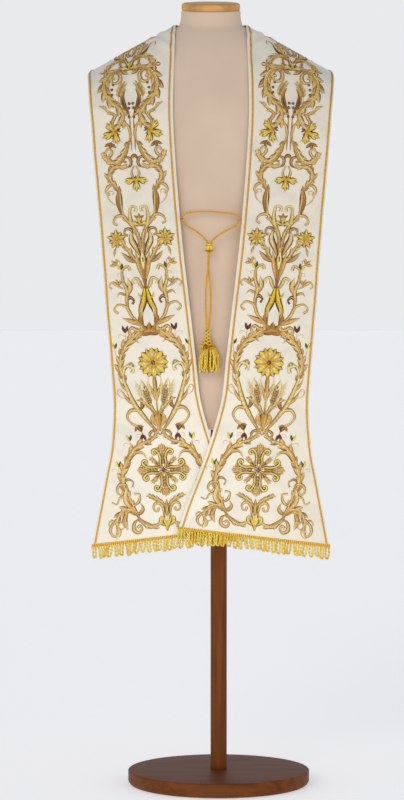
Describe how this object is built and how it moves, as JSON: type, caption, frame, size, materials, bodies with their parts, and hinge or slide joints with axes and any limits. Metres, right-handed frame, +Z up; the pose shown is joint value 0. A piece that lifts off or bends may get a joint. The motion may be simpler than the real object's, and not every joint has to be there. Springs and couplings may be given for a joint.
{
  "type": "clerical stole on dress form",
  "caption": "Clerical stole of stiff ivory cloth with gold embroidery, fringed ends and a tasselled cord with a slide knot, worn on a plain limbless dress form with a round stand.",
  "frame": {"origin": "under the middle of the object, on the surface that the stand's base rests on", "axes": "+Z up; the front, where the strips hang, faces -Y; +X is to the right as seen from the front"},
  "size_m": [0.5234, 0.39, 1.6813],
  "materials": {
    "ivory_satin": "satin weave with gold embroidery, soft sheen",
    "gold_braid": "woven metallic-thread braid",
    "gold_fringe": "twisted metallic-thread strands",
    "gold_cord": "twisted cord",
    "form_jersey": "matte stretch jersey",
    "honey_wood": "satin varnish",
    "brown_wood": "satin varnish"
  },
  "bodies": {
    "root": {"base": "brown_wood", "cord": "gold_cord", "cord_eye_left": "gold_cord", "cord_eye_right": "gold_cord", "edge_braid_inner_left": "gold_braid", "edge_braid_inner_right": "gold_braid", "edge_braid_outer_left": "gold_braid", "edge_braid_outer_right": "gold_braid", "form_torso": "form_jersey", "fringe_heading_left": "gold_braid", "fringe_heading_right": "gold_braid", "fringe_skirt_left": "gold_fringe", "fringe_skirt_right": "gold_fringe", "neck_cap": "honey_wood", "post": "brown_wood", "slide_knot": "gold_cord", "stole_panel_left": "ivory_satin", "stole_panel_right": "ivory_satin", "tassel_head": "gold_fringe", "tassel_ruff": "gold_fringe", "tassel_skirt": "gold_fringe"}
  },
  "joints": []
}
